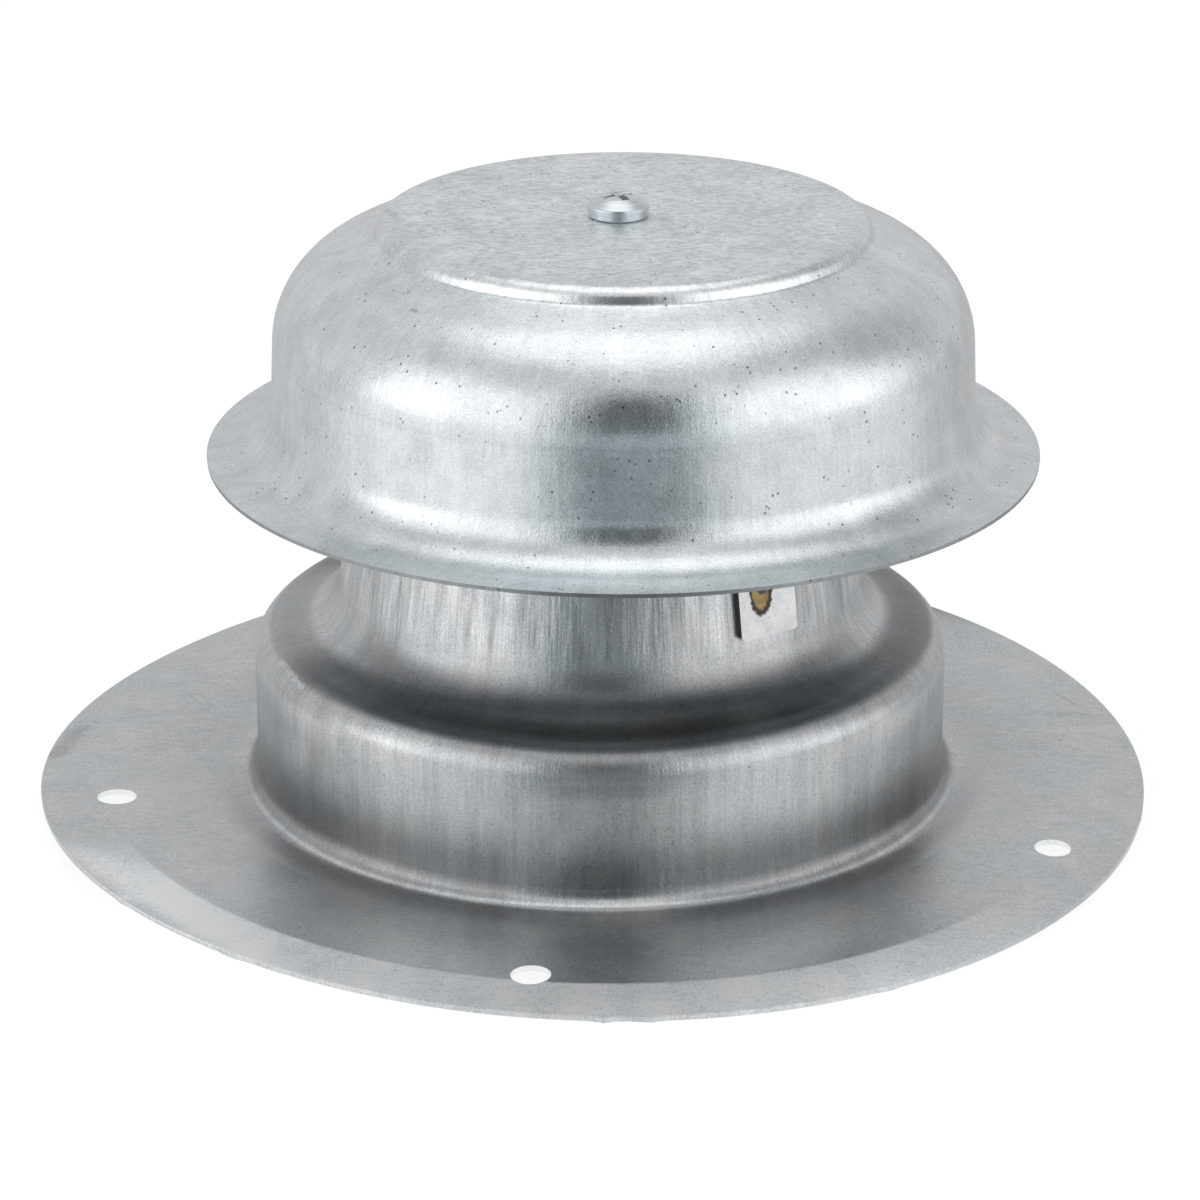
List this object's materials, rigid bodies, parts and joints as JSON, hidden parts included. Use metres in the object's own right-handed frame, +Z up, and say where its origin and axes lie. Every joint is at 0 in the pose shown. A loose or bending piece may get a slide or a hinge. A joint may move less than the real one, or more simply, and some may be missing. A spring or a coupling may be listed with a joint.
{
  "type": "roof plumbing vent",
  "caption": "Galvanised roof vent: round screw-down flange and drum, tapering neck, and a brimmed domed cap held over it by a strap and screw.",
  "frame": {"origin": "under the middle of the flange, level with its lowest edge", "axes": "+Z up along the neck, -Y towards the viewer of the picture, +X to the viewer's right"},
  "size_m": [0.165, 0.165, 0.0898],
  "materials": {
    "base_zinc": "galvanised sheet, drawn, dull grey with draw streaks",
    "cap_zinc": "bright galvanised sheet, satin",
    "strap_steel": "bright galvanised strip with a heat-tinted spot weld",
    "screw_zinc": "bright zinc plate"
  },
  "bodies": {
    "root": {"base_flashing": "base_zinc", "cap": "cap_zinc", "cap_strap": "strap_steel", "cap_screw": "screw_zinc"}
  },
  "joints": []
}
